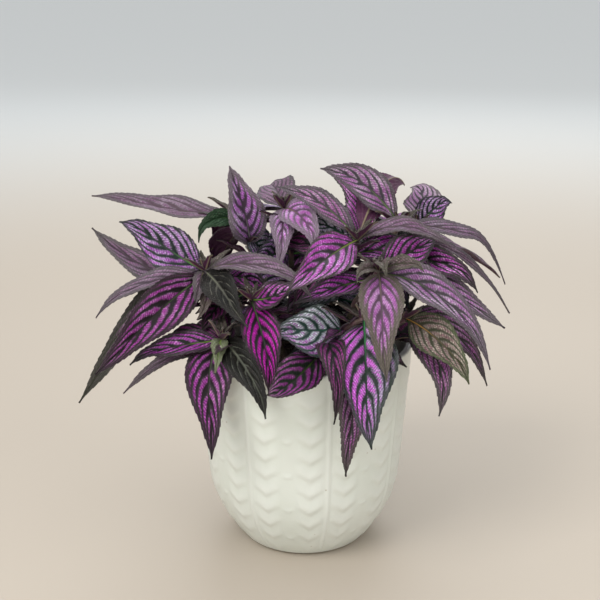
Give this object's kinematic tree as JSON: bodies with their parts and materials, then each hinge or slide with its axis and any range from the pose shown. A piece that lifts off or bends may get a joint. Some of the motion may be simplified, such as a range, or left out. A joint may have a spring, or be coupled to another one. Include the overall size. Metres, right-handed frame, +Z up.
{
  "type": "potted purple foliage plant",
  "caption": "Bushy Persian shield houseplant with iridescent purple leaves, in a cream ceramic pot with a chevron relief.",
  "frame": {"origin": "middle of the pot's flat base, on the surface that it stands on", "axes": "+Z up along the pot's axis, -Y towards the front of the plant, +X to its right as seen from the front"},
  "size_m": [0.2653, 0.2095, 0.2423],
  "materials": {
    "glaze": "satin ivory glaze",
    "soil": "matte dark potting mix",
    "foliage": "iridescent purple leaf, semi-gloss with fine hairs"
  },
  "bodies": {
    "root": {"pot": "glaze", "potting_mix": "soil", "shoot_front_right": "foliage", "shoot_low_front": "foliage", "shoot_left": "foliage", "shoot_front_left": "foliage", "shoot_front": "foliage", "shoot_upper_left": "foliage", "shoot_crown": "foliage", "shoot_right": "foliage", "shoot_middle": "foliage", "shoot_low_right": "foliage", "shoot_back_right": "foliage", "shoot_back": "foliage", "shoot_back_left": "foliage"}
  },
  "joints": []
}
